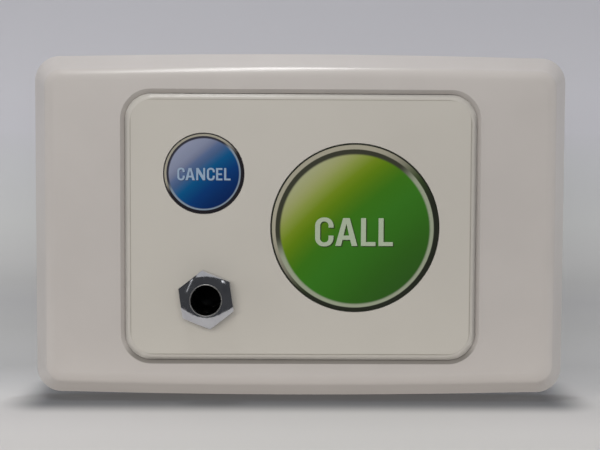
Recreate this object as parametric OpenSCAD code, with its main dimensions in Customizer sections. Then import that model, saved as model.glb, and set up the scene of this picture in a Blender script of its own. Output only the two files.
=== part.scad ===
// Wall-mounted patient call point: a surround clipped over a grid plate that carries two keys,
// a pendant jack and a circuit board.
// Every piece is drawn face up, with Z towards the room and zero at the wall, and then stood upright.

/* [Surround] */
// Overall width of the surround
plate_w = 116; // [112:1:122]
// Overall height of the surround, at the middle of its bowed edges
plate_h = 75; // [73:1:80]
// Depth of the surround, from the wall to its front face
plate_d = 9; // [8.6:0.1:10.6]
// Radius of the rim's corners
rim_r = 5.4; // [4.4:0.1:7]
// Upright land at the back of the rim
rim_land = 0.8; // [0.5:0.1:1.4]
// Angle of the sloping sides from the wall
side_angle = 63; // [58:1:70]
// Radius that rounds the sides into the front face
front_r = 3; // [2.2:0.1:3.6]
// How far the long edges bow outward between the corners
edge_crown = 0.7; // [0.1:0.1:0.8]
// Wall thickness of the sides, measured along the wall
cover_wall = 1.8; // [1.4:0.1:2.2]
// Thickness of the front face
face_t = 2; // [1.6:0.1:2.3]
// Bevel round the window
lip_bevel = 0.75; // [0.4:0.05:1]
// Gap between the window and the plateau in it
window_gap = 0.2; // [0.1:0.05:0.35]
// Thickness of the skirt behind the window's edge
skirt_t = 1.3; // [1:0.1:1.6]
// Radius of the four pegs that hold the surround on the grid plate
peg_r = 1.6; // [1.3:0.1:1.9]
// Clearance of a peg in its hole
peg_clear = 0.05; // [0.03:0.01:0.1]

/* [Grid plate] */
// Width of the raised plateau
plateau_w = 74.4; // [73:0.2:77]
// Height of the raised plateau
plateau_h = 56.4; // [55.4:0.2:57.4]
// Corner radius of the plateau
plateau_r = 5.6; // [4:0.2:7]
// How far the plateau stands proud of the surround's face
plateau_rise = 0.5; // [0.3:0.1:0.8]
// Width of the bevel round the plateau
plateau_bevel = 1.15; // [0.8:0.05:1.3]
// Drop of that bevel
bevel_drop = 0.25; // [0.15:0.05:0.6]
// Thickness of the plateau's front wall
front_wall = 2; // [1.7:0.1:2.3]
// Thickness of the plateau's side walls
tub_wall = 1.8; // [1.4:0.1:2]
// Thickness of the flange that lies on the wall
flange_t = 2.6; // [2:0.1:3]
// Centre distance of the two wall screws
screw_pitch = 84; // [83.6:0.2:86]
// Width of the slots for the wall screws
slot_w = 4.2; // [3.8:0.1:4.6]
// Length of those slots
slot_len = 6.2; // [5.2:0.2:6.4]

/* [Label] */
// Thickness of the printed film
film_t = 0.25; // [0.18:0.01:0.35]
// Corner radius of the film
film_r = 4.9; // [3.6:0.1:5.6]

/* [Keys] */
// Diameter of the call key
call_d = 35.7; // [33:0.3:36.6]
// Place of the call key from the plate's centre, sideways
call_x = 11.5; // [10.5:0.5:12.5]
// Diameter of the cancel key
cancel_d = 17; // [15:0.5:17.5]
// Place of the cancel key, sideways
cancel_x = -20.5; // [-21.5:0.5:-20]
// Place of the cancel key, upward
cancel_z = 11.4; // [10.4:0.2:12]
// Clearance of a key in its bore
key_clear = 0.1; // [0.06:0.01:0.1]
// How far a key travels
key_travel = 0.35; // [0.2:0.05:0.4]
// Thickness of a key cap's front
cap_t = 1.5; // [1.2:0.1:1.8]
// Width of the flange that keeps a key behind the front wall
cap_flange = 0.95; // [0.8:0.05:1.2]
// Thickness of that flange
cap_flange_t = 1; // [0.8:0.1:1.2]

/* [Pendant jack] */
// Place of the jack, sideways
jack_x = -19.8; // [-20.4:0.2:-19.2]
// Place of the jack, upward
jack_z = -15.1; // [-15.3:0.1:-14.5]
// Radius of the hole for the plug
plug_r = 3.2; // [3.19:0.01:3.3]
// Outer radius of the threaded bush
bush_r = 4.5; // [4.2:0.1:4.6]
// Width of the dress nut across its flats
nut_af = 10.8; // [10.5:0.1:12]
// Height of the dress nut
nut_h = 3.8; // [3.4:0.1:4.4]
// Width of the jack's body
jack_w = 14; // [13:0.5:14.5]
// Height of the jack's body
jack_h = 13; // [12.6:0.2:13.2]
// How far the jack's body reaches behind the wall
jack_reach = 19.5; // [19:0.5:22]

/* [Circuit board] */
// Thickness of the board
board_t = 1.6; // [1:0.2:2]
// How far the board's front stands in front of the wall
board_z = 1; // [0.8:0.1:1.2]
// Width of the call key's tact switch
call_switch_w = 12; // [10:0.5:12.5]
// Width of the cancel key's tact switch
cancel_switch_w = 6; // [5.5:0.25:6.5]

/* [Terminals] */
// Number of wires that the terminal block takes
poles = 4; // [3:1:5]
// Distance between its wires
pole_pitch = 5.08; // [5:0.02:5.2]

/* [Hidden] */
$fn = 64;

// Colours
bone = [0.76, 0.74, 0.71];
cream = [0.78, 0.76, 0.71];
leaf_green = [0.3, 0.52, 0.14];
deep_blue = [0.12, 0.3, 0.52];
chrome = [0.8, 0.81, 0.83];
steel = [0.66, 0.67, 0.68];
brass = [0.8, 0.66, 0.34];
black = [0.07, 0.07, 0.08];
silicone = [0.85, 0.86, 0.84];
board_green = [0.08, 0.34, 0.2];
terminal_green = [0.16, 0.5, 0.26];
tan_ceramic = [0.72, 0.58, 0.4];

// One overrun serves every cut, and one thin slice every ring of a lofted form
overrun = 0.5;
slice_t = 0.01;
// A seat is the hairline left between two pieces that touch
seat = 0.02;

// Sloping side: a straight band that runs tangent into the front rounding
arc_z = plate_d - front_r * (1 - cos(side_angle));
side_inset = (arc_z - rim_land) / tan(side_angle);
face_inset = side_inset + front_r * sin(side_angle);
cavity_z = plate_d - face_t;
cavity_inset = cover_wall + (cavity_z - rim_land) / tan(side_angle);
arc_steps = 8;
corner_steps = 10;
edge_steps = 8;
// Share of the rim's corner radius that is lost by the time the side reaches the face
corner_loss_share = 0.55;

// Window and plateau
front_z = plate_d + plateau_rise;
inner_z = front_z - front_wall;
film_z = front_z + film_t;
window_w = plateau_w + 2 * window_gap;
window_h = plateau_h + 2 * window_gap;
window_r = plateau_r + window_gap;
skirt_w = window_w + 2 * skirt_t;
skirt_h = window_h + 2 * skirt_t;
skirt_clear = 0.8;
skirt_z = flange_t + skirt_clear;
film_w = plateau_w - 2 * plateau_bevel;
film_h = plateau_h - 2 * plateau_bevel;
tub_w = plateau_w - 2 * tub_wall;
tub_h = plateau_h - 2 * tub_wall;
tub_r = plateau_r - tub_wall;

// Flange, which keeps clear of the surround's sloping wall at every height
flange_clear = 0.4;
flange_w = plate_w - 2 * (cover_wall + side_inset + flange_clear);
flange_h = plate_h - 2 * (cover_wall + side_inset + flange_clear + edge_crown);
flange_r = rim_r * (1 - corner_loss_share / 2);
flange_rib = 1.2;
flange_rib_h = 1.1;
screw_pad_r = slot_w;
screw_pad_h = 0.7;

// Pegs, halfway between the skirt and the flange's edge
peg_x = (skirt_w / 2 + flange_w / 2) / 2 + peg_r / 2;
peg_y_share = 0.72;
peg_y = peg_y_share * flange_h / 2;
peg_end_z = flange_t / 4;
peg_slot = peg_r / 2;
collar_t = 1.1;
collar_h = 1.2;

// Ribs under the surround's face; those at the sides leave room for the wall screws' heads
rib_t = 1;
rib_z = flange_t + flange_rib_h + skirt_clear;
rib_places_share = [-0.7, 0, 0.7];
side_rib_places_share = [-0.45, 0.45];

// Key caps
call_r = call_d / 2;
cancel_r = cancel_d / 2;
call_z = 0;
cap_rim_share = 0.09;
pocket_gap = 0.3;
pocket_t = 1;
pocket_depth = 2.4;
cap_rib_t = 1;
cap_ribs = 6;
cap_legs = 3;
leg_r_share = 0.05;
leg_base_r = 0.9;
pad_t = 0.8;
pad_clear = 0.05;
pad_gap = key_travel + pad_clear;
flange_top_z = inner_z - seat;
flange_bottom_z = flange_top_z - cap_flange_t;

// Tact switches
switch_h = 3.5;
frame_t = 0.3;
frame_skirt = 1.6;
switch_floor = 1.2;
plunger_rise = 1.1;
plunger_lip_t = 0.55;
dome_t = 0.1;
dome_rise = 0.62;
dome_foot_share = 0.94;
dome_steps = 256;
switch_top_z = board_z + switch_h;
plunger_top_z = switch_top_z + plunger_rise;
plunger_r_share = 0.29;
switch_well_share = 0.42;
switch_leg_w = 1;
switch_leg_t = 0.25;
switch_leg_reach = 1.4;

// Jack
washer_t = 0.5;
jack_front_z = inner_z - washer_t;
jack_corner_r = 1.2;
panel_hole_clear = 0.15;
nut_top_z = film_z + nut_h;
nut_web = 1.1;
nut_turn = 38;
nut_thread_clear = 0.05;
nut_crown_r = 6.1;
nut_crown_x = 2.5;
nut_corner_r = nut_af / 2 / cos(30);
lip_t = 0.2;
lip_rise = 0.12;
bush_back_z = -2.5;
bush_top_z = nut_top_z - nut_web - seat;
jack_rear_wall = 1.2;
throat_clear = 0.6;
throat_r = plug_r + throat_clear;
slit_clear = 0.12;
washer_tooth = 0.7;
washer_r = jack_h / 2 - washer_tooth;
washer_teeth = 12;
blade_t = 0.3;
blade_w = 2.6;
blade_gap = 0.5;
blade_root_z = -2.8;
blade_root_y = bush_r + nut_thread_clear + blade_t;
lug_gap = 0.1;
nose_z = -12.4;
nose_bite = 0.8;
nose_y = plug_r - nose_bite + blade_t / 2;
nose_run = 2.2;
shoulder_drop = 0.2;
heel_run = 1.4;
heel_drop = 0.85;
heel_y = blade_root_y - heel_drop;
blade_end_z = -14.9;
anvil_gap = 0.1;
anvil_y = heel_y - blade_t / 2 - anvil_gap - blade_t;
anvil_back_z = blade_end_z - 2 * blade_t - slit_clear;
runner_gap = 0.1;
runner_y = jack_h / 2 + runner_gap;
slot_side = blade_w / 2 + blade_gap;
tail_len = 2.6;
tail_w = 1.6;
tail_gap = 0.3;
tail_x = slot_side + tail_gap;

// Circuit board
board_edge_gap = 0.6;
board_w = tub_w - 2 * board_edge_gap;
board_h = tub_h - 2 * board_edge_gap;
board_r = tub_r - board_edge_gap;
board_back_z = board_z - board_t;
boss_r = 2.6;
boss_inset = 1.8;
boss_x = board_w / 2 - boss_r - boss_inset / 2;
boss_y = board_h / 2 - boss_r - boss_inset / 2;
board_screw_r = 0.8;
board_screw_clear = 0.05;
board_screw_len = 5;
board_screw_head_r = 2;
board_screw_head_h = 1.4;
board_hole_clear = 0.3;
jack_window_gap = 0.35;
tail_z = board_back_z - seat;

// Terminal block
terminal_wall = 0.62;
terminal_w = poles * pole_pitch + terminal_wall;
terminal_gap = 4.8;
terminal_x = boss_x - board_screw_head_r - terminal_gap - terminal_w / 2;
terminal_d = 8.4;
terminal_h = 12;
terminal_inset = 0.4;
terminal_y = -board_h / 2 + terminal_d / 2 + terminal_inset;
terminal_step = 1.7;
terminal_slope = 3.2;
cell_w = pole_pitch - 2 * terminal_wall;
cell_d = 5.4;
cell_floor = 1.2;
cell_top = 8.9;
ceiling_t = 0.7;
well_r = 1.95;
clamp_clear = 0.15;
clamp_w = cell_w - 2 * clamp_clear;
clamp_d = 3.2;
clamp_floor = 2;
clamp_top = 6.4;
clamp_wall = 0.6;
clamp_head = 0.9;
terminal_screw_r = 1.1;
terminal_head_r = 1.75;
terminal_head_h = 1.5;
screw_slot_w = 0.5;
contact_t = 0.45;
contact_w = 1.5;
contact_gap = 0.4;
contact_y = clamp_d / 2 + contact_gap + contact_t / 2;
bar_top = clamp_top - clamp_head - seat;
pin_r = 0.5;
pin_clear = 0.12;
pin_stub = 0.8;
entry_w = 2.9;
entry_floor = 2.4;
entry_top = 5;

// Chips and passives on the back of the board, in rows below the upper pair of screws
row_drop = 8.3;
row_y = boss_y - row_drop;
chip_w = 8.7;
chip_d = 3.9;
chip_h = 1.5;
chip_stand = 0.1;
chip_x = -6;
chip_y = row_y;
chip_pins = 7;
chip_pin_pitch = 1.27;
chip_leg_w = 0.42;
chip_leg_t = 0.2;
chip_leg_reach = 1.05;
crystal_x = -17;
crystal_y = row_y;
crystal_len = 11;
crystal_w = 4.6;
crystal_h = 3.5;
crystal_flange = 0.4;
crystal_round_share = 0.48;
electrolytic_r = 3.15;
electrolytic_h = 7.7;
electrolytic_base = 1;
electrolytic_groove = 2.2;
can_gap = 4.9;
electrolytic_y = row_y;
chip_part_l = 2;
chip_part_w = 1.25;
chip_part_h = 0.6;
chip_part_cap_share = 0.2;
part_pitch = 3.2;
part_gap = 1.5;
resistor_count = 5;
resistor_row_x = boss_x - part_gap - (resistor_count - 1) * part_pitch;
resistor_row_y = row_y + 2 * part_gap;
electrolytic_x = resistor_row_x - chip_part_l / 2 - can_gap - electrolytic_r;
ceramic_drop = 8;
ceramic_row_y = row_y - ceramic_drop;
ceramic_row_x = -8;
ceramic_count = 4;

// Stands a face-up piece upright, with its front towards -Y
module upright() rotate([90, 0, 0]) children();

// Rounded rectangle of squares and circles
module rounded_rect(w, h, r) {
    square([w - 2 * r, h], center = true);
    square([w, h - 2 * r], center = true);
    for (sx = [-1, 1], sy = [-1, 1])
        translate([sx * (w / 2 - r), sy * (h / 2 - r)]) circle(r);
}

// A slab of rounded outline between two heights
module rounded_slab(w, h, r, z0, z1)
    translate([0, 0, z0]) linear_extrude(z1 - z0) rounded_rect(w, h, r);

// A box given by its middle in X and Y and by its two heights
module block(x, y, w, d, z0, z1)
    translate([x - w / 2, y - d / 2, z0]) cube([w, d, z1 - z0]);

// A round post between two heights
module post(x, y, r, z0, z1)
    translate([x, y, z0]) cylinder(h = z1 - z0, r = r);

// Outline of the rim at an inset: round corners, with long edges that bow by the crown
function corner_at(cx, cy, r, from) = [
    for (i = [0 : corner_steps])
        let (a = from + 90 * i / corner_steps) [cx + r * cos(a), cy + r * sin(a)]
];
function edge_at(hw, hh, side) = [
    for (i = [1 : edge_steps - 1])
        let (s = side * (1 - 2 * i / edge_steps)) [hw * s, side * (hh - edge_crown * s * s)]
];
function ring(inset) = let (
    r = rim_r * (1 - corner_loss_share * inset / face_inset),
    hw = plate_w / 2 - inset - r,
    hh = plate_h / 2 - inset,
    cy = hh - edge_crown - r
) concat(
    corner_at(hw, cy, r, 0), edge_at(hw, hh, 1), corner_at(-hw, cy, r, 90),
    corner_at(-hw, -cy, r, 180), edge_at(hw, hh, -1), corner_at(hw, -cy, r, 270)
);

module ring_slice(inset, z0, z1)
    translate([0, 0, z0]) linear_extrude(z1 - z0) polygon(ring(inset));

// Outer form of the surround, lofted through its rings
module cover_outside() hull() {
    ring_slice(0, 0, rim_land);
    for (i = [0 : arc_steps]) {
        a = side_angle * (1 - i / arc_steps);
        z = plate_d - front_r * (1 - cos(a));
        ring_slice(side_inset + front_r * (sin(side_angle) - sin(a)), z - slice_t, z);
    }
}

// Hollow behind the surround's walls and face
module cover_inside() hull() {
    ring_slice(cover_wall, -overrun, rim_land);
    ring_slice(cavity_inset, cavity_z - slice_t, cavity_z);
}

// Bevel that is cut round the window's front edge
module window_bevel() hull() {
    rounded_slab(window_w, window_h, window_r, plate_d - lip_bevel - slice_t, plate_d - lip_bevel, $fn = 32);
    rounded_slab(
        window_w + 2 * (lip_bevel + overrun), window_h + 2 * (lip_bevel + overrun),
        window_r + lip_bevel + overrun, plate_d + overrun, plate_d + overrun + slice_t, $fn = 32);
}

// Split pegs that grip the grid plate's collars
module cover_pegs()
    for (sx = [-1, 1], sy = [-1, 1]) difference() {
        post(sx * peg_x, sy * peg_y, peg_r, peg_end_z, plate_d);
        block(sx * peg_x, sy * peg_y, 3 * peg_r, peg_slot, 0, flange_t + collar_h);
    }

// Ribs that stiffen the face between the skirt and the side walls
module cover_ribs() {
    for (s = side_rib_places_share, sx = [-1, 1])
        block(sx * (skirt_w + plate_w) / 4, s * tub_h / 2, (plate_w - skirt_w) / 2 + skirt_t, rib_t,
            rib_z, plate_d);
    for (s = rib_places_share, sy = [-1, 1])
        block(s * tub_w / 2, sy * (skirt_h + plate_h) / 4, rib_t, (plate_h - skirt_h) / 2 + skirt_t,
            rib_z, plate_d);
}

module surround_cover() color(bone) upright() difference() {
    cover_outside();
    difference() {
        cover_inside();
        rounded_slab(skirt_w, skirt_h, window_r + skirt_t, skirt_z, plate_d);
        cover_pegs();
        cover_ribs();
    }
    rounded_slab(window_w, window_h, window_r, -overrun, plate_d + overrun);
    window_bevel();
}

// Round bores of the plateau: both keys and the jack
module key_bore(x, y, r)
    post(x, y, r + key_clear, inner_z - overrun, film_z + overrun);

module key_pocket(x, y, r) difference() {
    post(x, y, r + cap_flange + pocket_gap + pocket_t, inner_z - pocket_depth, inner_z + slice_t);
    post(x, y, r + cap_flange + pocket_gap, inner_z - pocket_depth - overrun, inner_z + overrun);
}

// Plateau with its bevelled front edge
module plateau() {
    rounded_slab(plateau_w, plateau_h, plateau_r, 0, front_z - bevel_drop);
    hull() {
        rounded_slab(plateau_w, plateau_h, plateau_r, front_z - bevel_drop - slice_t, front_z - bevel_drop,
            $fn = 32);
        rounded_slab(film_w, film_h, film_r, front_z - slice_t, front_z, $fn = 32);
    }
}

// Flange with its edge rib, screw pads and peg collars
module flange() {
    rounded_slab(flange_w, flange_h, flange_r, 0, flange_t);
    difference() {
        rounded_slab(flange_w, flange_h, flange_r, flange_t - slice_t, flange_t + flange_rib_h);
        rounded_slab(flange_w - 2 * flange_rib, flange_h - 2 * flange_rib, flange_r - flange_rib,
            0, plate_d);
    }
    for (s = [-1, 1]) {
        block(s * screw_pitch / 2, 0, slot_len - slot_w, 2 * screw_pad_r, 0, flange_t + screw_pad_h);
        for (e = [-1, 1])
            post(s * screw_pitch / 2 + e * (slot_len - slot_w) / 2, 0, screw_pad_r, 0,
                flange_t + screw_pad_h);
        for (sy = [-1, 1])
            post(s * peg_x, sy * peg_y, peg_r + collar_t, 0, flange_t + collar_h);
    }
}

// Slots for the wall screws and holes for the pegs
module flange_holes() {
    for (s = [-1, 1]) {
        block(s * screw_pitch / 2, 0, slot_len - slot_w, slot_w, -overrun, plate_d);
        for (e = [-1, 1])
            post(s * screw_pitch / 2 + e * (slot_len - slot_w) / 2, 0, slot_w / 2, -overrun, plate_d);
        for (sy = [-1, 1])
            post(s * peg_x, sy * peg_y, peg_r + peg_clear, -overrun, plate_d);
    }
}

module grid_plate() color(bone) upright() difference() {
    union() {
        difference() {
            union() {
                plateau();
                flange();
            }
            rounded_slab(tub_w, tub_h, tub_r, -overrun, inner_z);
        }
        for (sx = [-1, 1], sy = [-1, 1])
            post(sx * boss_x, sy * boss_y, boss_r, board_z + seat, inner_z + slice_t);
        key_pocket(call_x, call_z, call_r);
        key_pocket(cancel_x, cancel_z, cancel_r);
    }
    flange_holes();
    key_bore(call_x, call_z, call_r);
    key_bore(cancel_x, cancel_z, cancel_r);
    post(jack_x, jack_z, bush_r + panel_hole_clear, inner_z - overrun, film_z);
    for (sx = [-1, 1], sy = [-1, 1])
        post(sx * boss_x, sy * boss_y, board_screw_r + board_screw_clear, board_z - overrun,
            board_z + board_screw_len);
}

// Printed film, with a round hole over each key and the jack
module label_film() color(cream) upright() difference() {
    rounded_slab(film_w, film_h, film_r, front_z, film_z);
    key_bore(call_x, call_z, call_r);
    key_bore(cancel_x, cancel_z, cancel_r);
    post(jack_x, jack_z, bush_r + panel_hole_clear, inner_z, film_z + overrun);
}

// Key cap: a ribbed cup whose flange keeps it behind the front wall, with a stem over the switch
// plunger and legs that stop on the board's pads
function leg_r(r) = leg_base_r + leg_r_share * r;
module key_cap(x, y, r) {
    wall = max(cap_rim_share * r, cap_flange);
    stem_z = plunger_top_z + seat;
    difference() {
        union() {
            post(x, y, r, flange_bottom_z, front_z);
            post(x, y, r + cap_flange, flange_bottom_z, flange_top_z);
        }
        post(x, y, r - wall, flange_bottom_z - overrun, front_z - cap_t);
    }
    post(x, y, leg_r(r), stem_z, front_z - cap_t + slice_t);
    for (i = [0 : cap_ribs - 1])
        translate([x, y, 0]) rotate([0, 0, 360 * i / cap_ribs])
            block(r / 2, 0, r - wall, cap_rib_t, flange_bottom_z, front_z - cap_t + slice_t);
    for (i = [0 : cap_legs - 1])
        translate([x, y, 0]) rotate([0, 0, 90 + 360 * i / cap_legs])
            post(r - leg_r(r) / 2, 0, leg_r(r), board_z + pad_t + pad_gap, flange_bottom_z + slice_t);
}

module key_film(x, y, r) post(x, y, r, front_z, film_z);

module stop_pads(x, y, r)
    for (i = [0 : cap_legs - 1])
        translate([x, y, 0]) rotate([0, 0, 90 + 360 * i / cap_legs])
            post(r - leg_r(r) / 2, 0, leg_r(r), board_z + seat, board_z + pad_t);

module call_key_cap() color(bone) upright() key_cap(call_x, call_z, call_r);
module call_key_film() color(leaf_green) upright() key_film(call_x, call_z, call_r);
module cancel_key_cap() color(bone) upright() key_cap(cancel_x, cancel_z, cancel_r);
module cancel_key_film() color(deep_blue) upright() key_film(cancel_x, cancel_z, cancel_r);
module call_stop_pads() color(silicone) upright() stop_pads(call_x, call_z, call_r);
module cancel_stop_pads() color(silicone) upright() stop_pads(cancel_x, cancel_z, cancel_r);

// Tact switch of a given width: base with its well, steel frame, plunger, snap dome and legs
module switch_base(x, y, w) difference() {
    block(x, y, w, w, board_z + seat, switch_top_z - frame_t - seat);
    post(x, y, w * switch_well_share, board_z + switch_floor, switch_top_z);
}

module switch_frame(x, y, w) difference() {
    union() {
        block(x, y, w, w, switch_top_z - frame_t, switch_top_z);
        for (s = [-1, 1])
            block(x + s * (w / 2 + seat + frame_t / 2), y, frame_t, w / 2,
                switch_top_z - frame_skirt, switch_top_z);
        block(x, y, w + 2 * frame_t, w / 2, switch_top_z - frame_t, switch_top_z);
    }
    post(x, y, w * plunger_r_share + key_clear, board_z, plunger_top_z);
}

module switch_plunger(x, y, w) {
    lip_z = switch_top_z - frame_t - seat;
    dome_z = board_z + switch_floor + dome_rise;
    post(x, y, w * plunger_r_share, lip_z - slice_t, plunger_top_z);
    post(x, y, w * (plunger_r_share + switch_well_share) / 2, lip_z - plunger_lip_t, lip_z);
    post(x, y, w * plunger_r_share / 3, dome_z + 2 * seat, lip_z);
}

module switch_dome(x, y, w) {
    foot_r = w * switch_well_share * dome_foot_share;
    ball_r = (foot_r * foot_r + dome_rise * dome_rise) / (2 * dome_rise);
    foot_z = board_z + switch_floor + seat;
    translate([x, y, foot_z + dome_rise - ball_r]) rotate_extrude() intersection() {
        difference() {
            circle(ball_r, $fn = dome_steps);
            circle(ball_r - dome_t, $fn = dome_steps);
        }
        translate([0, ball_r - dome_rise]) square([foot_r + overrun, dome_rise + overrun]);
    }
}

module switch_legs(x, y, w)
    for (sx = [-1, 1], sy = [-1, 1])
        block(x + sx * (w / 4 + switch_leg_w / 4), y + sy * (w / 2 + seat + switch_leg_reach / 2),
            switch_leg_w, switch_leg_reach, board_z + seat, board_z + seat + switch_leg_t);

module call_switch_base() color(black) upright() switch_base(call_x, call_z, call_switch_w);
module call_switch_frame() color(steel) upright() switch_frame(call_x, call_z, call_switch_w);
module call_switch_plunger() color(black) upright() switch_plunger(call_x, call_z, call_switch_w);
module call_switch_dome() color(steel) upright() switch_dome(call_x, call_z, call_switch_w);
module call_switch_legs() color(steel) upright() switch_legs(call_x, call_z, call_switch_w);
module cancel_switch_base() color(black) upright() switch_base(cancel_x, cancel_z, cancel_switch_w);
module cancel_switch_frame() color(steel) upright() switch_frame(cancel_x, cancel_z, cancel_switch_w);
module cancel_switch_plunger() color(black) upright() switch_plunger(cancel_x, cancel_z, cancel_switch_w);
module cancel_switch_dome() color(steel) upright() switch_dome(cancel_x, cancel_z, cancel_switch_w);
module cancel_switch_legs() color(steel) upright() switch_legs(cancel_x, cancel_z, cancel_switch_w);

// Dress nut: a hexagon under a rounded crown, with a thin rolled lip round the plug hole
module nut_crown() rotate_extrude() intersection() {
    union() {
        translate([nut_crown_x, nut_top_z - nut_crown_r]) circle(nut_crown_r, $fn = 128);
        square([nut_crown_x, nut_top_z]);
    }
    square([2 * nut_corner_r, nut_top_z]);
}
module jack_nut() color(chrome) upright() {
    difference() {
        intersection() {
            translate([jack_x, jack_z, film_z + seat]) rotate([0, 0, nut_turn])
                cylinder(h = nut_h - seat, r = nut_corner_r, $fn = 6);
            translate([jack_x, jack_z, 0]) nut_crown();
        }
        post(jack_x, jack_z, bush_r + nut_thread_clear, inner_z, nut_top_z - nut_web);
        post(jack_x, jack_z, plug_r, inner_z, nut_top_z + overrun);
    }
    difference() {
        post(jack_x, jack_z, plug_r + lip_t, nut_top_z - nut_web / 2, nut_top_z + lip_rise);
        post(jack_x, jack_z, plug_r, inner_z, nut_top_z + overrun);
    }
}

// Toothed lock washer between the front wall and the jack's body
module jack_washer() color(steel) upright() difference() {
    union() {
        post(jack_x, jack_z, washer_r, jack_front_z + seat, inner_z - seat);
        for (i = [0 : washer_teeth - 1])
            translate([jack_x, jack_z, 0]) rotate([0, 0, 360 * i / washer_teeth])
                block(washer_r, 0, 2 * washer_tooth, washer_tooth, jack_front_z + seat, inner_z - seat);
    }
    post(jack_x, jack_z, bush_r + panel_hole_clear, 0, front_z);
}

module jack_bush() color(steel) upright() difference() {
    post(jack_x, jack_z, bush_r, bush_back_z, bush_top_z);
    post(jack_x, jack_z, plug_r, bush_back_z - overrun, bush_top_z + overrun);
}

// Body with its throat, the blade's slot and slits for the three contacts
module jack_body() color(black) upright() translate([jack_x, jack_z, 0]) difference() {
    rounded_slab(jack_w, jack_h, jack_corner_r, -jack_reach, jack_front_z);
    post(0, 0, bush_r + nut_thread_clear, bush_back_z, jack_front_z + overrun);
    post(0, 0, throat_r, jack_rear_wall - jack_reach, 0);
    block(0, jack_h / 2, 2 * slot_side, 2 * (jack_h / 2 - throat_r / 2), anvil_back_z - slit_clear,
        blade_root_z + slit_clear);
    block(0, blade_root_y, blade_w + 2 * slit_clear, blade_t + 2 * slit_clear,
        blade_root_z, board_back_z);
    block(0, jack_h / 2, tail_w + 2 * slit_clear, jack_h - 2 * blade_root_y + blade_t,
        tail_z - blade_t - slit_clear, tail_z + slit_clear);
    block(0, -jack_h / 2, tail_w + 2 * slit_clear, jack_h - 2 * bush_r,
        tail_z - blade_t - slit_clear, tail_z + slit_clear);
    block(tail_x / 2 + tail_w / 2, jack_h / 2, tail_x + tail_w + blade_w + 2 * slit_clear,
        jack_h - 2 * (anvil_y - slit_clear), anvil_back_z - slit_clear, anvil_back_z + blade_t + slit_clear);
}

// Tip spring: a leaf that bends down to a nose in the plug's way
function blade_line() = [
    [blade_root_z, blade_root_y], [nose_z + nose_run, blade_root_y - shoulder_drop],
    [nose_z, nose_y], [nose_z - heel_run, heel_y], [blade_end_z, heel_y]
];
module jack_tip_spring() color(brass) upright()
    translate([jack_x - blade_w / 2, jack_z, 0]) rotate([90, 0, 90]) linear_extrude(blade_w)
        polygon([
            for (p = blade_line()) [p[1] - blade_t / 2, p[0]],
            for (i = [len(blade_line()) - 1 : -1 : 0])
                [blade_line()[i][1] + blade_t / 2, blade_line()[i][0]]
        ]);

module jack_tip_lug() color(brass) upright() translate([jack_x, jack_z, 0]) {
    block(0, blade_root_y, blade_w, blade_t, blade_root_z + lug_gap, tail_z);
    translate([-tail_w / 2, blade_root_y, tail_z - blade_t])
        cube([tail_w, jack_h / 2 + tail_len - blade_root_y, blade_t]);
}

// Break contact: an anvil under the end of the tip spring, led forward over the body to the board
module jack_break_contact() color(brass) upright() translate([jack_x, jack_z, 0]) {
    translate([-blade_w / 2, anvil_y, anvil_back_z])
        cube([blade_w, blade_t, blade_end_z + heel_run / 2 - anvil_back_z]);
    translate([-blade_w / 2, anvil_y, anvil_back_z])
        cube([blade_w / 2 + tail_x + tail_w, runner_y + blade_t - anvil_y, blade_t]);
    translate([tail_x, runner_y, anvil_back_z])
        cube([tail_w, blade_t, tail_z - anvil_back_z]);
    translate([tail_x, runner_y, tail_z - blade_t])
        cube([tail_w, jack_h / 2 + tail_len - runner_y, blade_t]);
}

module jack_sleeve_lug() color(brass) upright()
    translate([jack_x - tail_w / 2, jack_z - jack_h / 2 - tail_len, tail_z - blade_t])
        cube([tail_w, jack_h / 2 + tail_len - bush_r - nut_thread_clear, blade_t]);

// Places of the terminals, counted from the left
function pole_x(i) = terminal_x + (i - (poles - 1) / 2) * pole_pitch;

// A box and a post given by their heights behind the board
module back_block(x, y, w, d, h0, h1) block(x, y, w, d, board_back_z - h1, board_back_z - h0);
module back_post(x, y, r, h0, h1) post(x, y, r, board_back_z - h1, board_back_z - h0);

module circuit_board() color(board_green) upright() difference() {
    rounded_slab(board_w, board_h, board_r, board_back_z, board_z);
    block(jack_x, jack_z, jack_w + 2 * jack_window_gap, jack_h + 2 * jack_window_gap, -plate_d, plate_d);
    for (sx = [-1, 1], sy = [-1, 1])
        post(sx * boss_x, sy * boss_y, board_screw_r + board_hole_clear, -plate_d, plate_d);
    for (i = [0 : poles - 1])
        post(pole_x(i), terminal_y + contact_y, pin_r + pin_clear, -plate_d, plate_d);
}

// Four pan head screws with a cross recess
module board_screws() color(steel) upright()
    for (sx = [-1, 1], sy = [-1, 1]) translate([sx * boss_x, sy * boss_y, 0]) {
        back_post(0, 0, board_screw_r, -board_screw_len, board_screw_head_h / 2);
        difference() {
            back_post(0, 0, board_screw_head_r, seat, board_screw_head_h);
            for (a = [0, 90]) rotate([0, 0, a])
                back_block(0, 0, board_screw_head_r, screw_slot_w, board_screw_head_h / 2,
                    board_screw_head_h + overrun);
        }
    }

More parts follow.
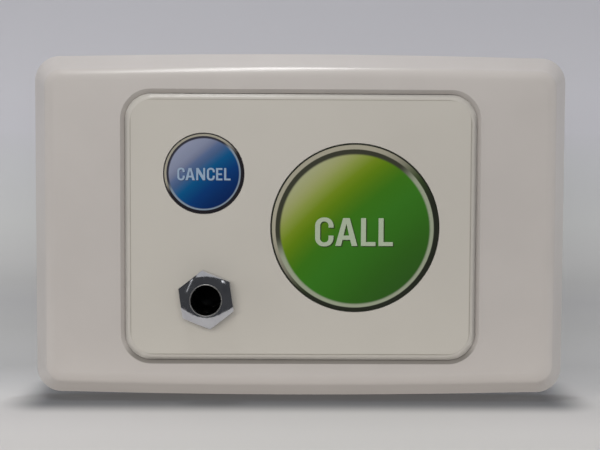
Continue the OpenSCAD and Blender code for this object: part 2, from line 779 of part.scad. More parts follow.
// Terminal housing: a sloped block with a cell, a wire entry and a screw well for each pole
module terminal_housing() color(terminal_green) upright() difference() {
    translate([terminal_x - terminal_w / 2, terminal_y, board_back_z])
        rotate([90, 0, 90]) linear_extrude(terminal_w) polygon([
            [-terminal_d / 2, -seat], [-terminal_d / 2, -terminal_h + terminal_slope],
            [-terminal_d / 2 + terminal_step, -terminal_h], [terminal_d / 2, -terminal_h],
            [terminal_d / 2, -seat]
        ]);
    for (i = [0 : poles - 1]) translate([pole_x(i), terminal_y, 0]) {
        back_block(0, 0, cell_w, cell_d, cell_floor, cell_top);
        back_block(0, -terminal_d / 2, entry_w, terminal_d - cell_d + clamp_d, entry_floor, entry_top);
        back_post(0, 0, well_r, cell_top + ceiling_t, terminal_h + overrun);
        back_post(0, 0, terminal_screw_r + pin_clear, cell_top - overrun, terminal_h);
        back_post(0, contact_y, pin_r + pin_clear, -overrun, cell_floor + overrun);
    }
}

module terminal_screws() color(steel) upright()
    for (i = [0 : poles - 1]) translate([pole_x(i), terminal_y, 0]) {
        back_post(0, 0, terminal_screw_r, bar_top + seat, cell_top + ceiling_t + seat + terminal_head_h / 2);
        difference() {
            back_post(0, 0, terminal_head_r, cell_top + ceiling_t + seat,
                cell_top + ceiling_t + seat + terminal_head_h);
            back_block(0, 0, 3 * terminal_head_r, screw_slot_w,
                cell_top + ceiling_t + terminal_head_h / 2, terminal_h);
        }
    }

// Rising cages that draw each wire up against its contact
module terminal_clamps() color(steel) upright()
    for (i = [0 : poles - 1]) translate([pole_x(i), terminal_y, 0]) difference() {
        back_block(0, 0, clamp_w, clamp_d, clamp_floor, clamp_top);
        back_block(0, 0, clamp_w - 2 * clamp_wall, 2 * clamp_d, clamp_floor + clamp_wall,
            clamp_top - clamp_head);
        back_post(0, 0, terminal_screw_r + board_screw_clear, clamp_floor + clamp_wall, terminal_h);
    }

module terminal_contacts() color(brass) upright()
    for (i = [0 : poles - 1]) translate([pole_x(i), terminal_y, 0]) {
        back_block(0, contact_y / 2, contact_w, contact_y + contact_t, bar_top - contact_t, bar_top);
        back_block(0, contact_y, contact_w, contact_t, cell_floor + seat, bar_top);
        back_post(0, contact_y, pin_r, -board_t - pin_stub, cell_floor + 2 * contact_t);
    }

module controller_chip() color(black) upright() difference() {
    back_block(chip_x, chip_y, chip_w, chip_d, chip_stand, chip_h + chip_stand);
    back_post(chip_x - chip_w / 2 + 2 * chip_leg_w, chip_y - chip_d / 2 + 2 * chip_leg_w, chip_leg_w,
        chip_h, chip_h + overrun);
}

module chip_legs() color(steel) upright()
    for (i = [0 : chip_pins - 1], s = [-1, 1])
        translate([chip_x + (i - (chip_pins - 1) / 2) * chip_pin_pitch, chip_y + s * chip_d / 2, 0]) {
            back_block(0, s * (chip_leg_reach / 2 + seat), chip_leg_w, chip_leg_reach, seat,
                seat + chip_leg_t);
            back_block(0, s * (chip_leg_t / 2 + seat), chip_leg_w, chip_leg_t, seat,
                chip_stand + chip_h / 2);
        }

module crystal() color(chrome) upright() translate([crystal_x, crystal_y, board_back_z]) {
    rounded_slab(crystal_len, crystal_w, crystal_w * crystal_round_share, -crystal_flange, -seat);
    rounded_slab(crystal_len - 2 * crystal_flange, crystal_w - 2 * crystal_flange,
        (crystal_w - 2 * crystal_flange) * crystal_round_share, -crystal_h, -crystal_flange / 2);
}

module electrolytic_capacitor() color(steel) upright() translate([electrolytic_x, electrolytic_y, 0]) {
    back_block(0, 0, 2 * electrolytic_r, 2 * electrolytic_r, seat, electrolytic_base);
    difference() {
        back_post(0, 0, electrolytic_r - crystal_flange / 2, electrolytic_base / 2, electrolytic_h);
        difference() {
            back_post(0, 0, electrolytic_r, electrolytic_groove, electrolytic_groove + crystal_flange);
            back_post(0, 0, electrolytic_r - crystal_flange, electrolytic_base, electrolytic_h);
        }
    }
}

// Surface-mounted part with its two end caps
module chip_part(x, y) translate([x, y, 0]) {
    back_block(0, 0, chip_part_w * (1 - chip_part_cap_share / 2), chip_part_l, 2 * seat, chip_part_h);
    for (s = [-1, 1])
        back_block(0, s * chip_part_l * (1 - chip_part_cap_share) / 2, chip_part_w,
            chip_part_l * chip_part_cap_share, seat, chip_part_h + seat);
}

module ceramic_capacitors() color(tan_ceramic) upright()
    for (i = [0 : ceramic_count - 1]) chip_part(ceramic_row_x + i * part_pitch, ceramic_row_y);
module resistors() color(black) upright()
    for (i = [0 : resistor_count - 1]) chip_part(resistor_row_x + i * part_pitch, resistor_row_y);

surround_cover();
grid_plate();
label_film();
call_key_cap();
call_key_film();
cancel_key_cap();
cancel_key_film();
jack_nut();
jack_washer();
jack_bush();
jack_body();
jack_tip_spring();
jack_tip_lug();
jack_break_contact();
jack_sleeve_lug();
circuit_board();
board_screws();
call_stop_pads();
cancel_stop_pads();
call_switch_base();
call_switch_frame();
call_switch_plunger();
call_switch_dome();
call_switch_legs();
cancel_switch_base();
cancel_switch_frame();
cancel_switch_plunger();
cancel_switch_dome();
cancel_switch_legs();
terminal_housing();
terminal_screws();
terminal_clamps();
terminal_contacts();
controller_chip();
chip_legs();
crystal();
electrolytic_capacitor();
ceramic_capacitors();
resistors();
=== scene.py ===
import math
import bmesh
import bpy
from mathutils import Matrix, Vector


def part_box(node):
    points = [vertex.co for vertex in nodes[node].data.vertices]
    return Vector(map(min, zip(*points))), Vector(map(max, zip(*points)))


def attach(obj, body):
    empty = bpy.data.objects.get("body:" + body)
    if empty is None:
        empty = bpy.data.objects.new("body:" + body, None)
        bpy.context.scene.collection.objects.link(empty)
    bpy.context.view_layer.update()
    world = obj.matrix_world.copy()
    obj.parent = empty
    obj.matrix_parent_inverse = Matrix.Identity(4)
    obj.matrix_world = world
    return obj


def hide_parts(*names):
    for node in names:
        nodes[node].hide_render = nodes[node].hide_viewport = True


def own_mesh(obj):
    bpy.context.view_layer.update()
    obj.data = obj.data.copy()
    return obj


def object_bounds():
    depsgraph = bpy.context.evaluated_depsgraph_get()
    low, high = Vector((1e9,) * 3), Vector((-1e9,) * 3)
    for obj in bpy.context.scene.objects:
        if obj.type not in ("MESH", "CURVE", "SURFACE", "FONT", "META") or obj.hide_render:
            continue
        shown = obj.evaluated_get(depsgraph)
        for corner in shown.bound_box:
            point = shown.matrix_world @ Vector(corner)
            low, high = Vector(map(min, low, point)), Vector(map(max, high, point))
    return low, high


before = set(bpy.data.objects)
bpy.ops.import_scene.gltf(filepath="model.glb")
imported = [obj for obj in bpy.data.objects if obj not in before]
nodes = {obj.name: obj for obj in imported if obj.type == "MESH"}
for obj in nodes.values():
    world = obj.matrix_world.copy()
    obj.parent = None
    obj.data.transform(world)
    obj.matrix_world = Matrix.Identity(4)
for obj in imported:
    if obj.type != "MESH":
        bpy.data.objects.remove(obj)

# A patient call point on its switch plate: the finished pieces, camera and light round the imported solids.
# Lengths in the settings are in mm and angles in degrees. Pieces are drawn face up and stood up at the end.

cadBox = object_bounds()
mm = 0.001
mergeGap = 0.0005  # points nearer than this are one
upright = Matrix.Scale(mm, 4) @ Matrix.Rotation(math.radians(90), 4, "X")
print("frame loaded:", len(nodes), "CAD nodes")


# Colours and shader nodes

def linear(code):  # an sRGB hex colour in the linear values that the shaders take
    channels = [int(code[i:i + 2], 16) / 255 for i in (0, 2, 4)]
    return [c / 12.92 if c <= 0.04045 else ((c + 0.055) / 1.055) ** 2.4 for c in channels] + [1.0]


def addNode(tree, kind, inputs=None, **settings):  # an input is a socket to link, a hex colour or a value
    made = tree.nodes.new(kind)
    for key, value in settings.items():
        setattr(made, key, value)
    for key, value in (inputs or {}).items():
        if isinstance(value, bpy.types.NodeSocket):
            tree.links.new(value, made.inputs[key])
        else:
            made.inputs[key].default_value = linear(value) if isinstance(value, str) else value
    return made


def perSize(size):  # texture scale for a feature of that many millimetres
    return 1 / (size * mm)


def startMaterial(name, colour, roughness, **sockets):
    material = bpy.data.materials.new(name)
    material.use_nodes = True
    tree = material.node_tree
    shader = tree.nodes["Principled BSDF"]
    shader.inputs["Base Color"].default_value = linear(colour)
    shader.inputs["Roughness"].default_value = roughness
    for key, value in sockets.items():
        shader.inputs[key].default_value = value
    place = addNode(tree, "ShaderNodeTexCoord").outputs["Object"]
    return material, tree, shader, place


# A colour mix takes its factor at input 0 and its two colours at 6 and 7, and gives the result at output 2

def mottle(tree, place, look, edges=(0.35, 0.65)):
    # Soft patches of the shade in the colour, about as wide as the look's cloud
    patches = addNode(tree, "ShaderNodeTexNoise", {
        "Vector": place, "Scale": perSize(look["cloud"]), "Detail": 3.0})
    share = addNode(tree, "ShaderNodeMapRange", {
        "Value": patches.outputs["Fac"], "From Min": edges[0], "From Max": edges[1]},
        interpolation_type="SMOOTHSTEP")
    mixed = addNode(tree, "ShaderNodeMix", {0: share.outputs["Result"], 6: look["colour"], 7: look["shade"]},
                    data_type="RGBA")
    return mixed.outputs[2]


def addGrain(tree, shader, place, look, detail=2.0, edges=(0.3, 0.7)):
    # A grain as wide and as deep as the look says, which also breaks the shine where there is a spread.
    # Grains finer than a tenth of a millimetre on the real part are drawn coarser, or they wouldn't show.
    if "stretch" in look:
        drawn = addNode(tree, "ShaderNodeMapping", {"Vector": place, "Scale": look["stretch"]})
        place = drawn.outputs["Vector"]
    grain = addNode(tree, "ShaderNodeTexNoise", {
        "Vector": place, "Scale": perSize(look["grain"]), "Detail": detail}).outputs["Fac"]
    bump = addNode(tree, "ShaderNodeBump", {"Height": grain, "Distance": look["depth"] * mm})
    tree.links.new(bump.outputs["Normal"], shader.inputs["Normal"])
    if "spread" in look:
        shine = addNode(tree, "ShaderNodeMapRange", {
            "Value": grain, "From Min": edges[0], "From Max": edges[1],
            "To Min": look["roughness"] - look["spread"], "To Max": look["roughness"] + look["spread"]},
            interpolation_type="SMOOTHSTEP")
        tree.links.new(shine.outputs["Result"], shader.inputs["Roughness"])


def mouldedPlastic(name, look):
    # Injection-moulded resin: a faint cloudiness, a fine texture from the tool and an even satin shine
    material, tree, shader, place = startMaterial(name, look["colour"], look["roughness"])
    tree.links.new(mottle(tree, place, look), shader.inputs["Base Color"])
    addGrain(tree, shader, place, look)
    return material


def platedMetal(name, look):
    # Drawn or turned metal under plating: bright, with fine rubbed marks that break the reflection
    material, tree, shader, place = startMaterial(name, look["colour"], look["roughness"], Metallic=1.0)
    tree.links.new(mottle(tree, place, look, (0.45, 0.75)), shader.inputs["Base Color"])
    addGrain(tree, shader, place, look, detail=4.0)
    return material


boneResin = mouldedPlastic("bone_asa_satin", {  # UV-stable resin from a polished tool: soft broad shine
    "colour": "B5B0AC", "shade": "B3AEAA", "roughness": 0.3, "spread": 0.015,
    "cloud": 14, "grain": 0.35, "depth": 0.0007})
plateResin = mouldedPlastic("bone_polycarbonate", {  # the grid plate's tougher resin, a touch greyer
    "colour": "B6B2AB", "shade": "B4B0A9", "roughness": 0.34, "spread": 0.04,
    "cloud": 9, "grain": 0.3, "depth": 0.0015})
capResin = mouldedPlastic("white_abs_key", {  # from a spark-eroded tool: dull white, with no sharp reflection
    "colour": "C9C7C2", "shade": "C3C1BB", "roughness": 0.42, "spread": 0.05,
    "cloud": 6, "grain": 0.3, "depth": 0.004})
blackNylon = mouldedPlastic("black_nylon_moulding", {  # glass-filled: a dull skin with grey flow clouds
    "colour": "17171A", "shade": "232326", "roughness": 0.5, "spread": 0.12,
    "cloud": 2.5, "grain": 0.12, "depth": 0.008})
greenNylon = mouldedPlastic("green_polyamide_terminal", {  # unfilled: a waxy mid green with uneven shine
    "colour": "2E7A48", "shade": "276C3F", "roughness": 0.44, "spread": 0.1,
    "cloud": 3, "grain": 0.15, "depth": 0.006})
siliconeRubber = mouldedPlastic("translucent_silicone", {  # pressed pads: milky and without gloss
    "colour": "D6D8D2", "shade": "CBCDC7", "roughness": 0.55, "spread": 0.05,
    "cloud": 2, "grain": 0.1, "depth": 0.005})
nickel = platedMetal("nickel_plated_steel", {  # warm grey, half bright, with handling marks
    "colour": "B9B8B4", "shade": "A3A19C", "roughness": 0.24, "spread": 0.07,
    "cloud": 2, "grain": 0.25, "depth": 0.002})
satinNickel = platedMetal("satin_nickel_rim", {  # a turned edge that never took the mirror polish
    "colour": "C9C8C6", "shade": "BDBCBA", "roughness": 0.55, "spread": 0.06,
    "cloud": 2, "grain": 0.2, "depth": 0.002})
tin = platedMetal("tin_plated_copper", {  # dull bright tin on legs and clamps
    "colour": "C2C2C0", "shade": "A8A9A8", "roughness": 0.34, "spread": 0.08,
    "cloud": 1.2, "grain": 0.2, "depth": 0.003})
brass = platedMetal("spring_brass", {  # rolled strip: yellow, with marks drawn out along the rolling
    "colour": "C9A659", "shade": "A98443", "roughness": 0.27, "spread": 0.08,
    "cloud": 2, "grain": 0.3, "depth": 0.002, "stretch": (1, 0.2, 1)})
canAluminium = platedMetal("capacitor_aluminium", {  # a drawn can: bluish white, lined along its length
    "colour": "C4C6C9", "shade": "B2B4B8", "roughness": 0.3, "spread": 0.06,
    "cloud": 3, "grain": 0.3, "depth": 0.002, "stretch": (1, 0.1, 1)})
chrome = platedMetal("bright_chrome_plate", {  # chrome over buffed brass: a cold mirror with faint buffing
    "colour": "D3D4D9", "shade": "C6C7CD", "roughness": 0.09, "spread": 0.05,
    "cloud": 3, "grain": 0.5, "depth": 0.004})


def reachFrom(tree, place, axes, core):  # distance outside a box about the origin, along the axes marked 1
    flat = addNode(tree, "ShaderNodeVectorMath", {0: place, 1: axes}, operation="MULTIPLY").outputs[0]
    folded = addNode(tree, "ShaderNodeVectorMath", {0: flat}, operation="ABSOLUTE").outputs[0]
    past = addNode(tree, "ShaderNodeVectorMath", {0: folded, 1: core}, operation="SUBTRACT").outputs[0]
    kept = addNode(tree, "ShaderNodeVectorMath", {0: past, 1: (0, 0, 0)}, operation="MAXIMUM").outputs[0]
    return addNode(tree, "ShaderNodeVectorMath", {0: kept}, operation="LENGTH").outputs["Value"]


def filmMaterial():
    # Printed polyester overlay: matt-textured face, so shine is broad and the cream ink looks even
    # cut is the colour of the painted line of shade along the sheet's edge
    look = {"colour": "B7B3AB", "shade": "B5B1A9", "roughness": 0.42, "cloud": 24, "grain": 0.22,
            "depth": 0.003, "cut": "8E897F", "line": 0.22, "rim": 0.05, "corner": 4.45}
    material, tree, shader, place = startMaterial("cream_polyester_film", look["colour"], look["roughness"])
    low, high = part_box("label_film")
    corner = look["corner"] * mm
    core = ((high.x - low.x) / 2 - corner, 0, (high.z - low.z) / 2 - corner)
    edgeShadeMask = addNode(tree, "ShaderNodeMapRange", {  # a painted line of shade along the sheet's cut edge, where the sheet steps down onto the plate
        "Value": reachFrom(tree, place, (1, 0, 1), core),
        "From Min": corner - look["line"] * mm, "From Max": corner - look["rim"] * mm},
        interpolation_type="SMOOTHSTEP")
    ink = addNode(tree, "ShaderNodeMix", {
        0: edgeShadeMask.outputs["Result"], 6: mottle(tree, place, look), 7: look["cut"]}, data_type="RGBA")
    tree.links.new(ink.outputs[2], shader.inputs["Base Color"])
    addGrain(tree, shader, place, look)
    return material


def setStops(ramp, stops):  # a ramp's colours in order, from its start to its end
    elements = ramp.color_ramp.elements
    for index, (position, colour) in enumerate(stops):
        stop = elements.new(position) if 0 < index < len(stops) - 1 else elements[0 if index == 0 else -1]
        stop.position = position
        stop.color = linear(colour)


# Key prints: discs of ink laid over each other, each about its own centre, as if lit from the upper left

def keyInk(name, look, centre):  # screen-printed under the film: deep colour, little shine of its own
    material, tree, shader, place = startMaterial(name, look["outline"], look["roughness"],
                                                  **{"Specular IOR Level": look["specular"]})

    def fromCentre(shift):  # millimetres from the middle of a disc, flat on the face
        spot = addNode(tree, "ShaderNodeMapping", {
            "Vector": place, "Scale": (mm, 1, mm),
            "Location": ((centre[0] + shift[0]) * mm, 0, (centre[1] + shift[1]) * mm)}, vector_type="TEXTURE")
        return addNode(tree, "ShaderNodeVectorMath", {0: spot.outputs["Vector"], 1: (1, 0, 1)},
                       operation="MULTIPLY").outputs["Vector"]

    def tintSide(spot, angle, edges, below, above):  # the second colour on the side that the angle points to
        unit = addNode(tree, "ShaderNodeVectorMath", {0: spot}, operation="NORMALIZE").outputs["Vector"]
        way = (math.cos(math.radians(angle)), 0, math.sin(math.radians(angle)))
        facing = addNode(tree, "ShaderNodeVectorMath", {0: unit, 1: way}, operation="DOT_PRODUCT")
        share = addNode(tree, "ShaderNodeMapRange", {
            "Value": facing.outputs["Value"], "From Min": edges[0], "From Max": edges[1]},
            interpolation_type="SMOOTHSTEP")
        return addNode(tree, "ShaderNodeMix", {0: share.outputs["Result"], 6: below, 7: above},
                       data_type="RGBA").outputs[2]

    def layDisc(spot, radius, blur, below, ink):
        reach = addNode(tree, "ShaderNodeVectorMath", {0: spot}, operation="LENGTH").outputs["Value"]
        inside = addNode(tree, "ShaderNodeMapRange", {
            "Value": reach, "From Min": radius - blur, "From Max": radius + blur, "To Min": 1, "To Max": 0},
            interpolation_type="SMOOTHSTEP")
        return addNode(tree, "ShaderNodeMix", {0: inside.outputs["Result"], 6: below, 7: ink},
                       data_type="RGBA").outputs[2]

    ring = look["ring"]
    spot = fromCentre((0, 0))
    tone = tintSide(spot, ring["litWay"], ring["litSpread"], ring["side"], ring["lit"])
    tone = tintSide(spot, ring["darkWay"], ring["darkSpread"], tone, look["outline"])
    ink = layDisc(spot, ring["radius"], look["blur"], look["outline"], tone)

    groove = look["groove"]
    spot = fromCentre(groove["shift"])
    tone = tintSide(spot, groove["darkWay"], groove["darkSpread"], groove["lit"], groove["dark"])
    ink = layDisc(spot, groove["radius"], look["blur"], ink, tone)

    face = look["face"]
    spot = fromCentre(face["shift"])
    lean = math.radians(face["lean"])  # how steeply the tones run down to the right
    along = addNode(tree, "ShaderNodeVectorMath", {0: spot, 1: (math.cos(lean), 0, -math.sin(lean))},
                    operation="DOT_PRODUCT").outputs["Value"]
    across = addNode(tree, "ShaderNodeVectorMath", {0: spot, 1: (math.sin(lean), 0, math.cos(lean))},
                     operation="DOT_PRODUCT").outputs["Value"]
    squared = addNode(tree, "ShaderNodeMath", {0: across, 1: across}, operation="MULTIPLY").outputs["Value"]
    bowed = addNode(tree, "ShaderNodeMath", {0: squared, 1: face["bow"], 2: along}, operation="MULTIPLY_ADD")
    share = addNode(tree, "ShaderNodeMapRange", {
        "Value": bowed.outputs["Value"], "From Min": -face["radius"], "From Max": face["radius"]})
    ramp = addNode(tree, "ShaderNodeValToRGB", {"Fac": share.outputs["Result"]})
    setStops(ramp, face["stops"])
    ink = layDisc(spot, face["radius"], face["blur"], ink, ramp.outputs["Color"])
    tree.links.new(ink, shader.inputs["Base Color"])
    addGrain(tree, shader, place, look)
    return material


callLook = {
    "outline": "24271F", "roughness": 0.4, "specular": 0.16, "blur": 0.09, "grain": 0.22, "depth": 0.003,
    "ring": {"radius": 17.57, "lit": "9C9887", "side": "456A1E", "litWay": 135, "litSpread": (-0.25, 0.25),
             "darkWay": -50, "darkSpread": (-0.7, 0.4)},
    "groove": {"shift": (-0.07, -0.15), "radius": 16.78, "dark": "36372C", "lit": "909782", "darkWay": 120,
               "darkSpread": (0.1, 0.42)},
    "face": {"shift": (0.05, -0.32), "radius": 15.86, "blur": 0.27, "lean": 48, "bow": -0.004,
             "stops": [(0, "9C9F7B"), (0.08, "959967"), (0.15, "839044"), (0.22, "6A821A"),
                       (0.28, "58790E"), (0.35, "477112"), (0.42, "376D15"), (0.55, "336C1C"),
                       (0.68, "30661A"), (0.83, "2D5B19"), (1, "2B521C")]},
}
cancelLook = {
    "outline": "1F1D22", "roughness": 0.4, "specular": 0.16, "blur": 0.07, "grain": 0.22, "depth": 0.003,
    "ring": {"radius": 8.33, "lit": "969284", "side": "77746F", "litWay": 128, "litSpread": (0.0, 0.4),
             "darkWay": -60, "darkSpread": (-0.35, 0.05)},
    "groove": {"shift": (-0.04, 0.05), "radius": 7.84, "dark": "2E2E38", "lit": "7B8998", "darkWay": 125,
               "darkSpread": (0.05, 0.4)},
    "face": {"shift": (0.04, -0.03), "radius": 7.44, "blur": 0.13, "lean": 50, "bow": -0.004,
             "stops": [(0, "858BA2"), (0.1, "7E859B"), (0.17, "798097"), (0.24, "6A728B"),
                       (0.3, "506286"), (0.37, "41587D"), (0.43, "2A547F"), (0.5, "004D7C"),
                       (0.57, "004475"), (0.7, "00326A"), (0.85, "00285C"), (1, "001E50")]},
}


def boardMaterial():
    # Solder mask over laminate: glossy dark green, with the copper pour showing as a slightly lighter tone
    look = {"mask": "17492F", "copper": "1F5A39", "roughness": 0.3, "pour": 5.5, "unevenness": 0.7,
            "gapEdges": (0.05, 0.09), "grain": 0.45, "depth": 0.004}
    material, tree, shader, place = startMaterial("green_solder_mask", look["mask"], look["roughness"])
    first, second = (addNode(tree, "ShaderNodeTexVoronoi", {
        "Vector": place, "Scale": perSize(look["pour"]), "Randomness": look["unevenness"]},
        feature=feature, distance="CHEBYCHEV").outputs["Distance"] for feature in ("F1", "F2"))
    gap = addNode(tree, "ShaderNodeMath", {0: second, 1: first}, operation="SUBTRACT").outputs["Value"]
    pour = addNode(tree, "ShaderNodeMapRange", {  # square-cornered pours, parted by bare lines
        "Value": gap, "From Min": look["gapEdges"][0], "From Max": look["gapEdges"][1]},
        interpolation_type="SMOOTHSTEP")
    mask = addNode(tree, "ShaderNodeMix", {0: pour.outputs["Result"], 6: look["mask"], 7: look["copper"]},
                   data_type="RGBA")
    tree.links.new(mask.outputs[2], shader.inputs["Base Color"])
    addGrain(tree, shader, place, look, detail=1.0)  # the glass weave under the mask
    return material


def chipPartMaterial(name, look):
    # Small parts in a row: a matt fired body between two bright tinned ends
    material, tree, shader, place = startMaterial(name, look["body"], look["roughness"])
    pitch, blend = look["pitch"] * mm, look["blend"] * mm
    across = addNode(tree, "ShaderNodeSeparateXYZ", {0: place}).outputs["X"]
    shifted = addNode(tree, "ShaderNodeMath", {0: across, 1: pitch / 2 - look["first"] * mm}, operation="ADD")
    wrapped = addNode(tree, "ShaderNodeMath", {0: shifted.outputs[0], 1: pitch}, operation="FLOORED_MODULO")
    centred = addNode(tree, "ShaderNodeMath", {0: wrapped.outputs[0], 1: pitch / 2}, operation="SUBTRACT")
    reach = addNode(tree, "ShaderNodeMath", {0: centred.outputs[0]}, operation="ABSOLUTE").outputs[0]
    end = look["halfBody"] * mm
    tinned = addNode(tree, "ShaderNodeMapRange", {
        "Value": reach, "From Min": end - blend, "From Max": end + blend},
        interpolation_type="SMOOTHSTEP").outputs["Result"]
    skin = addNode(tree, "ShaderNodeMix", {0: tinned, 6: look["body"], 7: look["tin"]}, data_type="RGBA")
    metal = addNode(tree, "ShaderNodeMapRange", {"Value": tinned}, interpolation_type="SMOOTHSTEP")
    tree.links.new(skin.outputs[2], shader.inputs["Base Color"])
    tree.links.new(metal.outputs["Result"], shader.inputs["Metallic"])
    addGrain(tree, shader, place, look)
    return material


# Shapes

rounding = {"segments": 3, "sharpAngle": 32}


def placePiece(name, bm, material, body, sharpAngle=rounding["sharpAngle"], bevel=None):
    # Drawn face up in millimetres: cleaned, stood up, scaled to metres and set on its body
    bmesh.ops.remove_doubles(bm, verts=bm.verts, dist=mergeGap)
    bmesh.ops.recalc_face_normals(bm, faces=bm.faces)
    bmesh.ops.transform(bm, matrix=upright, verts=bm.verts)
    mesh = bpy.data.meshes.new(name)
    bm.to_mesh(mesh)
    bm.free()
    mesh.shade_smooth()
    mesh.set_sharp_from_angle(angle=math.radians(sharpAngle))
    mesh.materials.append(material)
    piece = bpy.data.objects.new(name, mesh)
    bpy.context.scene.collection.objects.link(piece)
    if bevel:
        edges = piece.modifiers.new("edge_rounding", "BEVEL")
        edges.width = bevel * mm
        edges.segments = rounding["segments"]
        edges.limit_method = "ANGLE"
        edges.angle_limit = math.radians(sharpAngle)
    piece.modifiers.new("flat_faces", "WEIGHTED_NORMAL").keep_sharp = True
    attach(piece, body)
    return piece


def edgeLoop(bm, verts):  # new edges from each vertex to the next, and round to the first
    return [bm.edges.new(pair) for pair in zip(verts, verts[1:] + verts[:1])]


def spinRound(bm, profile, steps):  # a profile in the plane of x and z, turned fully about z
    bmesh.ops.spin(bm, geom=profile + edgeLoop(bm, profile), cent=(0, 0, 0), axis=(0, 0, 1),
                   angle=math.radians(360), steps=steps, use_merge=True)


def outlineLoop(bm, width, height, radius, z, bow=0.0, cornerSteps=12, bowCuts=11):
    # The edges of a rounded rectangle at height z, whose long sides bow outward
    flat = bmesh.new()
    corners = bmesh.ops.create_grid(flat, x_segments=1, y_segments=1, size=0.5)["verts"]
    bmesh.ops.scale(flat, vec=(width, height - 2 * bow, 1), verts=corners)
    sides = [e for e in flat.edges if abs(e.verts[0].co.y - e.verts[1].co.y) < mergeGap]
    bmesh.ops.subdivide_edges(flat, edges=sides, cuts=bowCuts)
    bmesh.ops.dissolve_faces(flat, faces=flat.faces)
    reach = width / 2 - radius
    corners = [v for v in flat.verts if abs(v.co.x) > width / 2 - mergeGap]
    for vert in (v for v in flat.verts if v not in corners):
        crown = bow * (1 - min(1, abs(vert.co.x) / reach) ** 2)
        vert.co.y += math.copysign(crown, vert.co.y)
    bmesh.ops.bevel(flat, geom=corners, offset=radius, offset_type="OFFSET", segments=cornerSteps,
                    profile=0.5, affect="VERTICES", material=-1)
    bmesh.ops.translate(flat, vec=(0, 0, z), verts=flat.verts)
    verts = [bm.verts.new(loop.vert.co) for loop in flat.faces[:][0].loops]
    flat.free()
    return edgeLoop(bm, verts)


def addBlock(bm, centre, size):
    verts = bmesh.ops.create_cube(bm, size=1)["verts"]
    bmesh.ops.scale(bm, vec=size, verts=verts)
    bmesh.ops.translate(bm, vec=centre, verts=verts)


def addPost(bm, centre, radius, bottom, top, steps=48):
    place = Matrix.Translation((centre[0], centre[1], (bottom + top) / 2))
    bmesh.ops.create_cone(bm, cap_ends=True, segments=steps, radius1=radius, radius2=radius,
                          depth=top - bottom, matrix=place)


# Surround: one skin lofted from the rim over the rounded front edge, through the window and back inside

low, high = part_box("surround_cover")
plateWidth = (high.x - low.x) / mm
plateHeight = (high.z - low.z) / mm
plateDepth = -low.y / mm
surround = {  # the window's width, height and corner; ribs from a start to an end; heights from the wall
    "rimRadius": 5.4, "cornerLossShare": 0.55, "land": 0.8, "sideAngle": 63, "frontRadius": 3.0, "crown": 0.7,
    "wall": 1.8, "faceThickness": 2.0, "window": (74.8, 56.8, 5.8), "lipBevel": 0.85, "skirt": 1.3,
    "skirtFoot": 3.4, "arcSteps": 16, "edgeRounding": 0.14,
    # the next entry is painted shade on the window's lower lip: its reach from the window's edge, the heights
    # it fades over, and its colour
    "lipPaintedShade": {"edge": (0.72, 0.87), "height": (-28, -25), "tone": "8C8883"},
    "pegAt": (46.38, 22.65), "pegRadius": 1.6, "pegFoot": 0.65, "sunk": 0.3,
    "sideRibAt": 11.88, "sideRib": (38.2, 53.9), "longRibAt": 24.78, "longRib": (29.3, 33.2),
    "ribThickness": 1, "ribMiddle": 6.05, "ribDepth": 3.1,
}


def makeSurround(look):
    bm = bmesh.new()
    tilt = math.radians(look["sideAngle"])
    front = look["frontRadius"]
    arcStart = plateDepth - front * (1 - math.cos(tilt))
    sideInset = (arcStart - look["land"]) / math.tan(tilt)
    faceInset = sideInset + front * math.sin(tilt)
    cavityTop = plateDepth - look["faceThickness"]
    cavityInset = look["wall"] + (cavityTop - look["land"]) / math.tan(tilt)

    def rim(inset, z):
        radius = look["rimRadius"] * (1 - look["cornerLossShare"] * inset / faceInset)
        return outlineLoop(bm, plateWidth - 2 * inset, plateHeight - 2 * inset, radius, z, look["crown"])

    def window(extra, z):
        width, height, radius = look["window"]
        return outlineLoop(bm, width + 2 * extra, height + 2 * extra, radius + extra, z)

    loops = [rim(0, 0), rim(0, look["land"])]
    for step in range(look["arcSteps"] + 1):
        turn = tilt * (1 - step / look["arcSteps"])
        inset = sideInset + front * (math.sin(tilt) - math.sin(turn))
        loops.append(rim(inset, plateDepth - front * (1 - math.cos(turn))))
    lip = window(look["lipBevel"], plateDepth)
    loops.append(lip)
    loops.append(window(0, plateDepth - look["lipBevel"]))
    loops.append(window(0, look["skirtFoot"]))
    loops.append(window(look["skirt"], look["skirtFoot"]))
    loops.append(window(look["skirt"], cavityTop))
    loops.append(rim(cavityInset, cavityTop))
    loops.append(rim(look["wall"], look["land"]))
    loops.append(rim(look["wall"], 0))
    flats = (loops.index(lip) - 1, loops.index(lip) + 4)  # the front face and the ceiling behind it
    for index, (first, second) in enumerate(zip(loops, loops[1:] + loops[:1])):
        if index in flats:
            bmesh.ops.triangle_fill(bm, use_beauty=True, edges=first + second)
        else:
            bmesh.ops.bridge_loops(bm, edges=first + second)
    for x in (-look["pegAt"][0], look["pegAt"][0]):
        for y in (-look["pegAt"][1], look["pegAt"][1]):
            addPost(bm, (x, y), look["pegRadius"], look["pegFoot"], cavityTop + look["sunk"])
        for y in (-look["sideRibAt"], look["sideRibAt"]):
            start, end = look["sideRib"]
            addBlock(bm, (math.copysign((start + end) / 2, x), y, look["ribMiddle"]),
                     (end - start, look["ribThickness"], look["ribDepth"]))
    for x in (-look["longRibAt"], 0, look["longRibAt"]):
        for side in (-1, 1):
            start, end = look["longRib"]
            addBlock(bm, (x, side * (start + end) / 2, look["ribMiddle"]),
                     (look["ribThickness"], end - start, look["ribDepth"]))
    return bm


